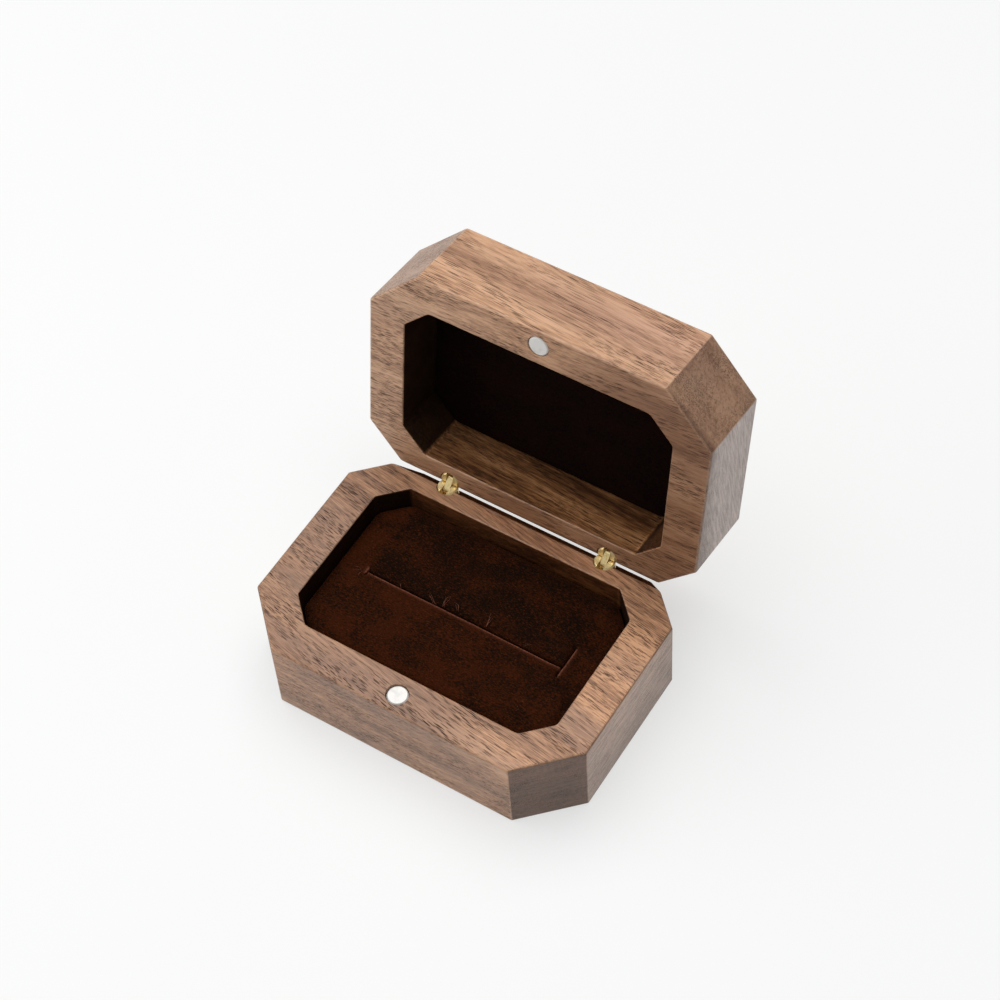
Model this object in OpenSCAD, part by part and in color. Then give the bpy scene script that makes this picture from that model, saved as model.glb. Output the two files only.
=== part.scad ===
// Ring display box: two hollowed walnut halves with eight upright sides, joined at the back
// by a pair of small brass barrel hinges and held shut by two disc magnets. A velvet cushion
// with a slit for a ring fills the lower half and a thin velvet pad lines the upper one.
// Millimetres. +X runs along the box, +Y to the hinges at the back, +Z up.
// The origin is the middle of the underside of the lower half. The lid is shown open.

/* [Wooden case] */
// Length of the box, end to end
case_length = 70; // [66:1:84]
// Depth of the box, front to back
case_depth = 50; // [48:1:62]
// Height of the lower half
base_height = 17.5; // [16.5:0.5:24]
// Height of the upper half
lid_height = 16.5; // [15.5:0.5:24]
// How far each upright corner is cut back along both sides
corner_cut = 10; // [9:0.5:12]
// Rounding of the upright corners
corner_radius = 0.5; // [0.3:0.1:1]
// Size of the broken edges around the rims
rim_break = 0.3; // [0.2:0.1:0.5]
// Size of the broken edges around the outer faces
face_break = 0.6; // [0.3:0.1:1]

/* [Hollows] */
// Thickness of the four straight walls
wall = 7.5; // [7:0.25:8]
// How far each corner of the hollow is cut back along both sides
hollow_cut = 5; // [4:0.5:6]
// Rounding that the cutter leaves in the corners of the hollow
hollow_radius = 1.25; // [0.5:0.25:2]
// Thickness of the floor of the lower half
base_floor = 4; // [3:0.25:5]
// Thickness of the top of the upper half
lid_floor = 4; // [3:0.25:5]

/* [Hinges] */
// Angle between the two rims when the lid rests open
open_angle = 99.3; // [94:0.1:106]
// Distance between the two hinges
hinge_spacing = 34; // [28:1:38]
// Distance of the hinge axis from the back face
hinge_inset = 3.5; // [3.2:0.1:3.8]
// Gap left between the rims when the lid is shut
rim_gap = 0.1; // [0.05:0.05:0.2]
// Diameter of a hinge barrel
barrel_diameter = 4; // [3.8:0.1:4.2]
// Length of a hinge barrel below its rim
barrel_length = 7; // [6:0.5:8]
// Radial room for glue round a barrel or a magnet
glue_gap = 0.1; // [0.05:0.05:0.15]
// Break round the end of a barrel
barrel_break = 0.3; // [0.2:0.05:0.4]
// Depth of a hinge pin below its rim
pin_depth = 1; // [0.9:0.05:1.1]
// Diameter of a hinge pin
pin_diameter = 0.9; // [0.7:0.05:1]
// Length by which a pin stays short of the barrel's sides
pin_recess = 0.25; // [0.15:0.05:0.4]
// Thickness of the link plate
link_thickness = 1.2; // [1:0.1:1.4]
// Width of the link plate
link_width = 1.7; // [1.5:0.05:1.8]
// Room on each side of the link plate in its slot
slot_gap = 0.12; // [0.08:0.02:0.2]
// Room between a pin and the hole that turns on it
running_gap = 0.05; // [0.02:0.01:0.08]
// Room between a pin and the hole that holds it
pin_seat_gap = 0.01; // [0.01:0.01:0.03]
// Half of the gap between the stop faces of the open hinge
stop_gap = 0.03; // [0.02:0.01:0.06]

/* [Back bevels] */
// Gap at the rim from the lower half's bevel to the plane where the hinges stop
base_bevel_gap = 1.1; // [0.9:0.1:1.3]
// Gap at the rim from the upper half's bevel to the plane where the hinges stop
lid_bevel_gap = 0.25; // [0.2:0.05:0.5]
// Extra slope of the bevels past half of the open angle
bevel_relief = 3.2; // [1:0.1:5]

/* [Magnets] */
// Diameter of a disc magnet
magnet_diameter = 4; // [3:0.5:4]
// Thickness of a disc magnet
magnet_thickness = 2; // [1:0.5:3]
// Break round the ends of a disc magnet
magnet_break = 0.25; // [0.1:0.05:0.3]
// Distance of the magnets from the front face
magnet_inset = 3.5; // [3.25:0.05:3.75]
// How deep the lower magnet sits under its rim
magnet_recess = 0.2; // [0.1:0.05:0.4]

/* [Cushion] */
// Depth of the cushion's crest under the rim
cushion_drop = 3; // [2.5:0.1:4]
// How far the crest stands above the cushion's shoulder
cushion_crown = 0.7; // [0.3:0.1:1]
// Roll of the cushion's upper edge
cushion_shoulder = 1.4; // [0.8:0.1:1.8]
// Room between the cushion and the wood
cushion_gap = 0.2; // [0.1:0.05:0.3]
// Thickness of the velvet with its pile
velvet = 0.6; // [0.4:0.1:0.8]
// Thickness of the card under the cushion
cushion_card = 1; // [0.8:0.1:1.5]
// Length of the slit for the ring
slit_length = 42; // [30:1:44]
// Width of the slit at its mouth
slit_width = 0.6; // [0.4:0.1:1]
// Depth of the slit
slit_depth = 7; // [5:0.5:8]
// Length of the short cuts across the ends of the slit
slit_end_cut = 4; // [3:0.5:6]

/* [Lid lining] */
// Depth of the lining's crest under the rim
lining_drop = 9.8; // [9:0.1:10.2]
// How far the crest stands above the lining's shoulder
lining_crown = 0.3; // [0.2:0.1:0.5]
// Roll of the lining's upper edge
lining_shoulder = 0.6; // [0.3:0.1:0.8]
// Thickness of the card behind the lining
lining_card = 0.8; // [0.6:0.1:1]

/* [Hidden] */

// How much shorter a corner cut gets when its outline moves in by one
cut_loss = 2 - sqrt(2);
// Straight stretches in each rounded upright corner
corner_steps = 3;
// Rings in the roll and in the crown of a pad
shoulder_steps = 4;
crown_steps = 4;
// Sides of the round parts
$fn = 64;
// Overrun of a cut past the face that it opens
over = 1;
// Thin skin that keeps nested soft pieces from sharing a face
skin_gap = 0.05;

hollow_length = case_length - 2 * wall;
hollow_depth = case_depth - 2 * wall;
hinge_y = case_depth / 2 - hinge_inset;
magnet_y = magnet_inset - case_depth / 2;
left_x = -hinge_spacing / 2;
right_x = hinge_spacing / 2;

// The two pins of a hinge lie one above the other when the lid is shut
pin_spacing = 2 * pin_depth + rim_gap;
link_turn = open_angle / 2;
base_pin_z = base_height - pin_depth;
lid_pin_z = base_pin_z + pin_spacing;
stop_reach = pin_spacing / 2 - stop_gap;
slot_depth = pin_depth + link_width / 2 + 2 * slot_gap;

// Colours
walnut = "#7a5238";
velvet_brown = "#2c1812";
foam_grey = "#b9b2a6";
card_brown = "#a58a66";
brass = "#c9a552";
magnet_silver = "#cfd2d6";

// ---- outlines ----

// Corner number k of an eight-sided outline, counted from the +X side towards +Y
function outline_corner(k, half_length, half_depth, cut) =
    let (
        on_end = k % 4 == 0 || k % 4 == 3,
        x = on_end ? half_length : half_length - cut,
        y = on_end ? half_depth - cut : half_depth
    )
    [(k < 2 || k > 5) ? x : -x, k < 4 ? y : -y];

// Eight-sided outline with rounded corners, moved in by inset
function outline(length, depth, cut, radius, inset = 0) =
    let (r = max(radius - inset, 0.05), move = inset + r)
    [
        for (k = [0:7], step = [0:corner_steps])
            let (turn = 45 * (k + step / corner_steps))
            outline_corner(k, length / 2 - move, depth / 2 - move, cut - cut_loss * move)
                + r * [cos(turn), sin(turn)]
    ];

// Distance of side k of the outline from the middle
function side_distance(k, length, depth, cut) =
    k % 4 == 0 ? length / 2 : k % 4 == 2 ? depth / 2 : ((length + depth) / 2 - cut) / sqrt(2);

// Slanted strips that break the eight edges of an outline at z = 0
module edge_strips(length, depth, cut, size) {
    for (k = [0:7])
        rotate([0, 0, 45 * k])
            translate([side_distance(k, length, depth, cut), 0, 0])
                rotate([0, 45, 0])
                    cube([size * sqrt(2), length, size * sqrt(2)], center = true);
}

// ---- one wooden half, with its rim at z = 0 and its wood below ----

// Solid half before it is hollowed
module half_block(height) {
    difference() {
        translate([0, 0, -height])
            linear_extrude(height)
                polygon(outline(case_length, case_depth, corner_cut, corner_radius));
        translate([0, 0, -height])
            edge_strips(case_length, case_depth, corner_cut, face_break);
        edge_strips(case_length, case_depth, corner_cut, rim_break);
    }
}

// Space cut out of a half, with a broken edge at the rim
module hollow(depth) {
    translate([0, 0, -depth])
        linear_extrude(depth + over)
            polygon(outline(hollow_length, hollow_depth, hollow_cut, hollow_radius));
    difference() {
        translate([0, 0, -rim_break])
            linear_extrude(rim_break + over)
                polygon(outline(hollow_length, hollow_depth, hollow_cut, hollow_radius, -rim_break));
        translate([0, 0, -rim_break])
            edge_strips(
                hollow_length + 2 * rim_break, hollow_depth + 2 * rim_break,
                hollow_cut + cut_loss * rim_break, rim_break
            );
    }
}

// Wedge cut off the back edge, so that the halves clear each other when open
module back_bevel(gap) {
    start = (stop_reach - gap - pin_depth * cos(link_turn)) / sin(link_turn);
    translate([0, hinge_y + start, 0])
        rotate([-(link_turn + bevel_relief), 0, 0])
            translate([-case_length, -over, 0])
                cube([2 * case_length, 2 * case_depth, case_depth]);
}

// Round hole that goes down from the rim
module rim_hole(x, y, diameter, depth) {
    translate([x, y, -depth])
        cylinder(d = diameter + 2 * glue_gap, h = depth + over);
}

module wooden_half(height, floor_thickness, bevel_gap, magnet_seat) {
    difference() {
        half_block(height);
        hollow(height - floor_thickness);
        back_bevel(bevel_gap);
        rim_hole(left_x, hinge_y, barrel_diameter, barrel_length);
        rim_hole(right_x, hinge_y, barrel_diameter, barrel_length);
        rim_hole(0, magnet_y, magnet_diameter, magnet_seat + magnet_thickness);
    }
}

// ---- hinge pieces ----

// Slotted barrel with its end at z = 0 and its axis through the origin
module barrel() {
    difference() {
        translate([0, 0, -barrel_length])
            cylinder(d = barrel_diameter, h = barrel_length - barrel_break);
        barrel_cuts();
    }
    difference() {
        translate([0, 0, -barrel_break])
            cylinder(
                d1 = barrel_diameter, d2 = barrel_diameter - 2 * barrel_break, h = barrel_break
            );
        barrel_cuts();
    }
}

// Slot for the link, hole for the pin and the slanted face that stops the open lid
module barrel_cuts() {
    translate([-link_thickness / 2 - slot_gap, -barrel_diameter, -slot_depth])
        cube([link_thickness + 2 * slot_gap, 2 * barrel_diameter, slot_depth + over]);
    translate([-barrel_diameter, 0, -pin_depth])
        rotate([0, 90, 0])
            cylinder(d = pin_diameter + 2 * pin_seat_gap, h = 2 * barrel_diameter);
    translate([0, 0, -pin_depth]) {
        rotate([-link_turn, 0, 0])
            translate([-barrel_diameter, -barrel_diameter, stop_reach])
                cube(2 * barrel_diameter);
        rolled_corner();
    }
}

// Waste outside the corner that is rounded about the pin, where the barrels roll past each other
module rolled_corner() {
    difference() {
        intersection() {
            translate([-barrel_diameter, 0, 0])
                cube(2 * barrel_diameter);
            rotate([-link_turn, 0, 0])
                translate([-barrel_diameter, -2 * barrel_diameter, 0])
                    cube(2 * barrel_diameter);
        }
        rotate([0, 90, 0])
            cylinder(r = stop_reach, h = 4 * barrel_diameter, center = true);
    }
}

// Pin with its axis along X at its depth under the rim
module pin() {
    length = barrel_diameter - 2 * pin_recess;
    translate([-length / 2, 0, -pin_depth])
        rotate([0, 90, 0])
            cylinder(d = pin_diameter, h = length);
}

// Link plate with its lower hole at the origin and its upper hole straight above
module link() {
    difference() {
        union() {
            for (z = [0, pin_spacing])
                translate([-link_thickness / 2, 0, z])
                    rotate([0, 90, 0])
                        cylinder(d = link_width, h = link_thickness);
            translate([-link_thickness / 2, -link_width / 2, 0])
                cube([link_thickness, link_width, pin_spacing]);
        }
        for (z = [0, pin_spacing])
            translate([-link_thickness, 0, z])
                rotate([0, 90, 0])
                    cylinder(d = pin_diameter + 2 * running_gap, h = 2 * link_thickness);
    }
}

// ---- places ----

// Stands a half, or what sits in it, the right way up in the lower half
module in_base() {
    translate([0, 0, base_height])
        children();
}

// Turns what follows by the link's angle about an axis along X
module swing_open(z) {
    translate([0, hinge_y, z])
        rotate([-link_turn, 0, 0])
            translate([0, -hinge_y, -z])
                children();
}

// Carries a half, turned rim down, to where the open lid holds it
module in_lid() {
    swing_open(base_pin_z)
        swing_open(lid_pin_z)
            translate([0, 0, base_height + rim_gap])
                mirror([0, 0, 1])
                    children();
}

module hinge_link(x) {
    swing_open(base_pin_z)
        translate([x, hinge_y, base_pin_z])
            link();
}

// ---- soft pieces ----

// Points of one ring of a pad, at its height
function pad_ring(inset, z) =
    [
        for (p = outline(hollow_length, hollow_depth, hollow_cut, hollow_radius, inset))
            [p[0], p[1], z]
    ];

// Ring of the crown, drawn towards the middle by share
function crown_ring(inset, top, crown, share) =
    [
        for (p = outline(hollow_length, hollow_depth, hollow_cut, hollow_radius, inset))
            [p[0] * share, p[1] * share, top - crown * share * share]
    ];

// Rings of a pad: its foot, the roll of its shoulder and its crown
function pad_rings(inset, bottom, top, crown, shoulder) =
    concat(
        [pad_ring(inset, bottom)],
        [
            for (step = [0:shoulder_steps])
                let (turn = 90 * step / shoulder_steps)
                pad_ring(
                    inset + shoulder * (1 - cos(turn)),
                    top - crown - shoulder * (1 - sin(turn))
                )
        ],
        [
            for (step = [1:crown_steps - 1])
                crown_ring(inset + shoulder, top, crown, 1 - step / crown_steps)
        ]
    );

// Closed crowned pad that follows the outline of the hollow
module pad(inset, bottom, top, crown, shoulder) {
    rings = pad_rings(inset, bottom, top, crown, shoulder);
    around = len(rings[0]);
    last = len(rings) - 1;
    points = concat([for (ring = rings) each ring], [[0, 0, bottom], [0, 0, top]]);
    foot = len(points) - 2;
    crest = len(points) - 1;
    sides = [
        for (level = [0:last - 1], k = [0:around - 1])
            let (
                a = level * around + k,
                b = level * around + (k + 1) % around
            )
            each [[a, a + around, b], [b, a + around, b + around]]
    ];
    ends = [
        for (k = [0:around - 1])
            let (next = (k + 1) % around)
            each [[foot, k, next], [crest, last * around + next, last * around + k]]
    ];
    polyhedron(points, concat(sides, ends), convexity = 4);
}

// The slit with its two end cuts, made wider and deeper by grow
module slit(grow, depth) {
    translate([0, 0, -depth - grow])
        linear_extrude(depth + grow + over) {
            square([slit_length + 2 * grow, slit_width + 2 * grow], center = true);
            for (side = [-1, 1])
                translate([side * slit_length / 2, 0])
                    square([slit_width + 2 * grow, slit_end_cut + 2 * grow], center = true);
        }
}

cushion_bottom = base_floor - base_height;
foam_bottom = cushion_bottom + cushion_card + skin_gap;
foam_inset = cushion_gap + velvet + skin_gap;
lining_bottom = lid_floor - lid_height;
lining_foam_bottom = lining_bottom + lining_card + skin_gap;

// Outer form of the cushion, moved in on all sides by inset
module cushion_form(inset, bottom) {
    pad(
        cushion_gap + inset, bottom, -cushion_drop - inset, cushion_crown,
        cushion_shoulder - inset / 2
    );
}

// Half of the cushion's foam, on the side that side names, clear of the tucked velvet
module cushion_foam(side) {
    intersection() {
        difference() {
            cushion_form(velvet + skin_gap, foam_bottom);
            translate([0, 0, -cushion_drop])
                slit(velvet + skin_gap, slit_depth);
        }
        translate([-case_length / 2, side > 0 ? velvet : -velvet - case_depth, -base_height])
            cube([case_length, case_depth, base_height]);
    }
}

// Flat board that fills the foot of a soft piece
module card_board(bottom, thickness) {
    translate([0, 0, bottom])
        linear_extrude(thickness)
            polygon(outline(hollow_length, hollow_depth, hollow_cut, hollow_radius, foam_inset));
}

// Outer form of the lining, moved in on all sides by inset
module lining_form(inset, bottom) {
    pad(
        cushion_gap + inset, bottom, -lining_drop - inset, lining_crown,
        lining_shoulder - inset / 2
    );
}

// ---- sub-parts ----

module base_body() {
    color(walnut)
        in_base()
            wooden_half(base_height, base_floor, base_bevel_gap, magnet_recess);
}

module lid_body() {
    color(walnut)
        in_lid()
            wooden_half(lid_height, lid_floor, lid_bevel_gap, 0);
}

module cushion_cover() {
    color(velvet_brown)
        in_base()
            difference() {
                cushion_form(0, cushion_bottom);
                difference() {
                    cushion_form(velvet, cushion_bottom - over);
                    translate([0, 0, -cushion_drop])
                        slit(velvet, slit_depth);
                }
                translate([0, 0, -cushion_drop])
                    slit(0, slit_depth);
            }
}

module cushion_foam_front() {
    color(foam_grey)
        in_base()
            cushion_foam(-1);
}

module cushion_foam_rear() {
    color(foam_grey)
        in_base()
            cushion_foam(1);
}

module cushion_card_board() {
    color(card_brown)
        in_base()
            card_board(cushion_bottom, cushion_card);
}

module lining_cover() {
    color(velvet_brown)
        in_lid()
            difference() {
                lining_form(0, lining_bottom);
                lining_form(velvet, lining_bottom - over);
            }
}

module lining_foam() {
    color(foam_grey)
        in_lid()
            lining_form(velvet + skin_gap, lining_foam_bottom);
}

module lining_card_board() {
    color(card_brown)
        in_lid()
            card_board(lining_bottom, lining_card);
}

// Disc magnet with its upper face at depth seat under the rim
module magnet(seat) {
    radius = magnet_diameter / 2;
    translate([0, magnet_y, -seat])
        rotate_extrude()
            polygon([
                [0, 0], [radius - magnet_break, 0], [radius, -magnet_break],
                [radius, magnet_break - magnet_thickness],
                [radius - magnet_break, -magnet_thickness], [0, -magnet_thickness]
            ]);
}

module base_magnet() {
    color(magnet_silver)
        in_base()
            magnet(magnet_recess);
}

module lid_magnet() {
    color(magnet_silver)
        in_lid()
            magnet(0);
}

module base_barrel(x) {
    color(brass)
        in_base()
            translate([x, hinge_y, 0])
                barrel();
}

module lid_barrel(x) {
    color(brass)
        in_lid()
            translate([x, hinge_y, 0])
                barrel();
}

module base_pin(x) {
    color(brass)
        in_base()
            translate([x, hinge_y, 0])
                pin();
}

module lid_pin(x) {
    color(brass)
        in_lid()
            translate([x, hinge_y, 0])
                pin();
}

module left_link() {
    color(brass)
        hinge_link(left_x);
}

module right_link() {
    color(brass)
        hinge_link(right_x);
}

base_body();
lid_body();
cushion_cover();
cushion_foam_front();
cushion_foam_rear();
cushion_card_board();
lining_cover();
lining_foam();
lining_card_board();
base_magnet();
lid_magnet();
base_barrel(left_x);  // left_base_barrel
base_barrel(right_x);  // right_base_barrel
lid_barrel(left_x);  // left_lid_barrel
lid_barrel(right_x);  // right_lid_barrel
left_link();
right_link();
base_pin(left_x);  // left_base_pin
base_pin(right_x);  // right_base_pin
lid_pin(left_x);  // left_lid_pin
lid_pin(right_x);  // right_lid_pin
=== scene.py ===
import math
import random

import bmesh
import bpy
from mathutils import Matrix, Vector, noise


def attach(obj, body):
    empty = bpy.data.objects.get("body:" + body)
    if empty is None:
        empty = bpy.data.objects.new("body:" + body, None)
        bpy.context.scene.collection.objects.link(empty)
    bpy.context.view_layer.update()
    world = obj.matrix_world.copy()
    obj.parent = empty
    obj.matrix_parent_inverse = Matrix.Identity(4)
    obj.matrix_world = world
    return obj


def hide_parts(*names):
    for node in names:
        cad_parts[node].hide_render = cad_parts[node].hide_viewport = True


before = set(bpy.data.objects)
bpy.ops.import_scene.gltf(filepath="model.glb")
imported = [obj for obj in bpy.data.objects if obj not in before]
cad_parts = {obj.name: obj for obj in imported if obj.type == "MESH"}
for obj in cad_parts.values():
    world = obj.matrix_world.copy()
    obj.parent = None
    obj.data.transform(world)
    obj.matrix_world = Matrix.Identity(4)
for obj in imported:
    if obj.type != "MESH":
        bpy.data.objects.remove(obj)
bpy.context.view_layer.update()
scene = bpy.context.scene
millimetre = 0.001
# nearer than this is the same place or the same height, in millimetres
samePoint, sameLevel = 1e-4, 1e-3
# an edge of an opening turns by more than this, in radians
sharpAngle = 1


# Everything is shaped in millimetres, on a half that has its rim at z = 0 and its wood below.
# The matrices baseRim and lidRim then set it into the lower half or the open lid.
case = {
    "length": 70, "depth": 50, "baseHeight": 17.5, "lidHeight": 16.5,
    "cornerCut": 10, "cornerRadius": 0.5, "edgeRound": 0.42, "rimRound": 0.3,
    "wall": 7.5, "hollowCut": 5, "hollowRadius": 1.25, "baseFloor": 4, "lidFloor": 4,
    # the slanted back: where it leaves the rim, and its angle to the rim
    "baseBevelStart": 20.8, "lidBevelStart": 21.94, "bevelSlope": 52.85,
    "openAngle": 99.3, "rimGap": 0.1, "hingeY": 21.5, "hingeX": 17, "pinDepth": 1,
    "magnetY": -21.5, "baseMagnetDepth": 2.2, "lidMagnetDepth": 2,
}


def swing(height):
    # the link's half of the opening, about an axis along X at that height
    axis = Vector((0, case["hingeY"], height))
    turn = Matrix.Rotation(-math.radians(case["openAngle"] / 2), 4, "X")
    return Matrix.Translation(axis) @ turn @ Matrix.Translation(-axis)


basePinHeight = case["baseHeight"] - case["pinDepth"]
lidPinHeight = basePinHeight + 2 * case["pinDepth"] + case["rimGap"]
baseRim = Matrix.Translation((0, 0, case["baseHeight"]))
lidRim = (
    swing(basePinHeight) @ swing(lidPinHeight)
    @ Matrix.Translation((0, 0, case["baseHeight"] + case["rimGap"]))
    @ Matrix.Rotation(math.pi, 4, "Y")  # turned over, so left and right change places
)


studio = {
    "cameraPlace": (0.159604, -0.206819, 0.404789),
    "azimuth": 35.836, "elevation": 53.725, "roll": -4.759,
    "lens": 93.10, "sensor": 36,
    # the floor is a lit white panel, as small things are often photographed on
    "floorSize": 8, "floorColour": (0.31, 0.312, 0.31), "floorRoughness": 0.6,
    "floorGlow": 0.59, "mottleScale": 9, "mottle": 0.01,
    "skyColour": (0.97, 0.985, 1.0), "skyStrength": 0.24, "backdropStrength": 0.93,
    "lamps": {
        # name: size, place, power
        "softbox": (1.8, (-0.24, 0.25, 1.5), 25),
        "sidePanel": (0.35, (-0.42, -0.2, 0.2), 0.7),
    },
}


def aimCamera():
    data = bpy.data.cameras.new("photoCamera")
    data.lens = studio["lens"]
    data.sensor_width = studio["sensor"]
    data.clip_start = 0.01
    camera = bpy.data.objects.new("photoCamera", data)
    turn = (
        Matrix.Rotation(math.radians(studio["azimuth"]), 4, "Z")
        @ Matrix.Rotation(math.radians(90 - studio["elevation"]), 4, "X")
        @ Matrix.Rotation(math.radians(studio["roll"]), 4, "Z")
    )
    camera.matrix_world = Matrix.Translation(studio["cameraPlace"]) @ turn
    scene.collection.objects.link(camera)
    scene.camera = camera


def put(tree, kind, inputs=None, **settings):
    # adds a node; an input is a plain value or another node's output
    node = tree.nodes.new(kind)
    for name, value in settings.items():
        setattr(node, name, value)
    for name, value in (inputs or {}).items():
        socket = node.inputs[name]
        if isinstance(value, bpy.types.NodeSocket):
            tree.links.new(value, socket)
        else:
            socket.default_value = value
    return node


def lightStudio():
    world = bpy.data.worlds.new("studio")
    scene.world = world
    world.use_nodes = True
    tree = world.node_tree
    background = tree.nodes["Background"]
    background.inputs["Color"].default_value = (*studio["skyColour"], 1)
    lightPath = put(tree, "ShaderNodeLightPath")
    strength = put(tree, "ShaderNodeMapRange", {
        "Value": lightPath.outputs["Is Camera Ray"],
        "To Min": studio["skyStrength"], "To Max": studio["backdropStrength"],
    })
    tree.links.new(strength.outputs["Result"], background.inputs["Strength"])
    for name, (size, place, power) in studio["lamps"].items():
        data = bpy.data.lights.new(name, "AREA")
        data.shape = "SQUARE"
        data.size = size
        data.energy = power
        lamp = bpy.data.objects.new(name, data)
        lamp.matrix_world = (
            Matrix.Translation(place)
            @ Vector(place).to_track_quat("Z", "Y").to_matrix().to_4x4()
        )
        scene.collection.objects.link(lamp)


def layFloor():
    material = newMaterial("paleFloor")
    tree = material.node_tree
    where = put(tree, "ShaderNodeTexCoord").outputs["Object"]
    mottle = put(tree, "ShaderNodeTexNoise", {
        "Vector": where, "Scale": studio["mottleScale"], "Detail": 3})
    colour = mixColours(tree, mottle.outputs["Fac"],
                        paler(studio["floorColour"], 1 - studio["mottle"]),
                        paler(studio["floorColour"], 1 + studio["mottle"]))
    shader = tree.nodes["Principled BSDF"]
    tree.links.new(colour, shader.inputs["Base Color"])
    tree.links.new(colour, shader.inputs["Emission Color"])
    shader.inputs["Emission Strength"].default_value = (
        studio["floorGlow"] / studio["floorColour"][0])
    shader.inputs["Roughness"].default_value = studio["floorRoughness"]
    shape = bmesh.new()
    bmesh.ops.create_grid(shape, x_segments=4, y_segments=4, size=studio["floorSize"] / 2)
    mesh = bpy.data.meshes.new("floor")
    shape.to_mesh(mesh)
    shape.free()
    mesh.materials.append(material)
    floor = bpy.data.objects.new("floor", mesh)
    scene.collection.objects.link(floor)


def newMaterial(name):
    material = bpy.data.materials.new(name)
    material.use_nodes = True
    return material


def paler(colour, factor):
    return tuple(min(channel * factor, 1) for channel in colour)


def paint(red, green, blue):
    # a screen colour, 0 to 255, as the linear colour that the shader wants
    def linear(channel):
        share = channel / 255
        return share / 12.92 if share <= 0.04045 else ((share + 0.055) / 1.055) ** 2.4
    return linear(red), linear(green), linear(blue)


def mixColours(tree, factor, first, second, blend="MIX"):
    node = put(tree, "ShaderNodeMix", data_type="RGBA", blend_type=blend, clamp_factor=True)
    for index, value in ((0, factor), (6, first), (7, second)):
        if isinstance(value, bpy.types.NodeSocket):
            tree.links.new(value, node.inputs[index])
        elif index:
            node.inputs[index].default_value = (*value[:3], 1)
        else:
            node.inputs[index].default_value = value
    return node.outputs[2]


def calculate(tree, operation, first, second=0.0, third=0.0):
    node = put(tree, "ShaderNodeMath", operation=operation)
    for index, value in enumerate((first, second, third)):
        if isinstance(value, bpy.types.NodeSocket):
            tree.links.new(value, node.inputs[index])
        else:
            node.inputs[index].default_value = value
    return node.outputs[0]


def weighed(tree, parts, extra=0.0):
    # the sum of the parts, each times its weight
    total = extra
    for value, weight in reversed(parts):
        total = calculate(tree, "MULTIPLY_ADD", value, weight, total)
    return total


def fade(tree, value, start, end):
    # 0 at start and 1 at end, smooth between them
    node = put(tree, "ShaderNodeMapRange", {"Value": value, "From Min": start, "From Max": end},
               interpolation_type="SMOOTHSTEP")
    return node.outputs["Result"]


def stretched(tree, where, sizes):
    # the same place measured in grains of these sizes, in millimetres
    scale = [1 / (size * millimetre) for size in sizes]
    node = put(tree, "ShaderNodeVectorMath", {0: where, 1: scale}, operation="MULTIPLY")
    return node.outputs[0]


def clouds(tree, where, sizes, detail, roughness=0.5):
    # noise from 0 to 1, in patches of these sizes
    node = put(tree, "ShaderNodeTexNoise", {
        "Vector": stretched(tree, where, sizes), "Scale": 1, "Detail": detail,
        "Roughness": roughness})
    return node.outputs["Fac"]


def startGroup(name, inputs, outputs):
    group = bpy.data.node_groups.new(name, "ShaderNodeTree")
    for label, kind, value in inputs:
        socket = group.interface.new_socket(label, in_out="INPUT", socket_type=kind)
        if value is not None:
            socket.default_value = value
    for label, kind in outputs:
        group.interface.new_socket(label, in_out="OUTPUT", socket_type=kind)
    return group, group.nodes.new("NodeGroupInput"), group.nodes.new("NodeGroupOutput")


def useGroup(tree, group, inputs):
    node = tree.nodes.new("ShaderNodeGroup")
    node.node_tree = group
    for name, value in inputs.items():
        if isinstance(value, bpy.types.NodeSocket):
            tree.links.new(value, node.inputs[name])
        elif isinstance(value, (int, float)):
            node.inputs[name].default_value = value
        else:
            node.inputs[name].default_value = (*value, 1) if len(value) == 3 else value
    return node


grain = {
    # each size is along, across and through the board, in millimetres
    "wander": (70, 26, 26), "wanderReach": 4.4,
    "figure": (90, 4.2, 4.2), "bands": (16, 0.55, 0.55), "fibres": (4, 0.16, 0.16),
    "tone": (60, 9, 9), "patches": (16, 4, 4), "ragged": (14, 3, 3), "rings": (12, 5, 0.4),
    "pores": (2.5, 0.18, 0.18), "poreEdge": (0.44, 0.3),
    # from none to all: light wood, pores, cool wood, the paler line of a ring, worn edges
    "lightRange": (0.82, 1.48), "poreRange": (0.78, 0.46), "coolRange": (0.4, 0.68),
    "ringRange": (0.36, 0.64), "ringShades": (0.66, 1.28), "wornRange": (0.3, 0.62),
    # how squarely a face cuts the grain where it starts to darken, to pale again and to take
    # the painted sheen
    "acrossRange": (0.3, 0.7), "slantRange": (0.8, 1.0), "squareRange": (0.86, 0.99),
    # how squarely a long side faces to the front or back where it loses pores
    "sideRange": (0.75, 0.95),
    "roughness": 0.36, "bumpDepth": 0.06,
}


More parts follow.
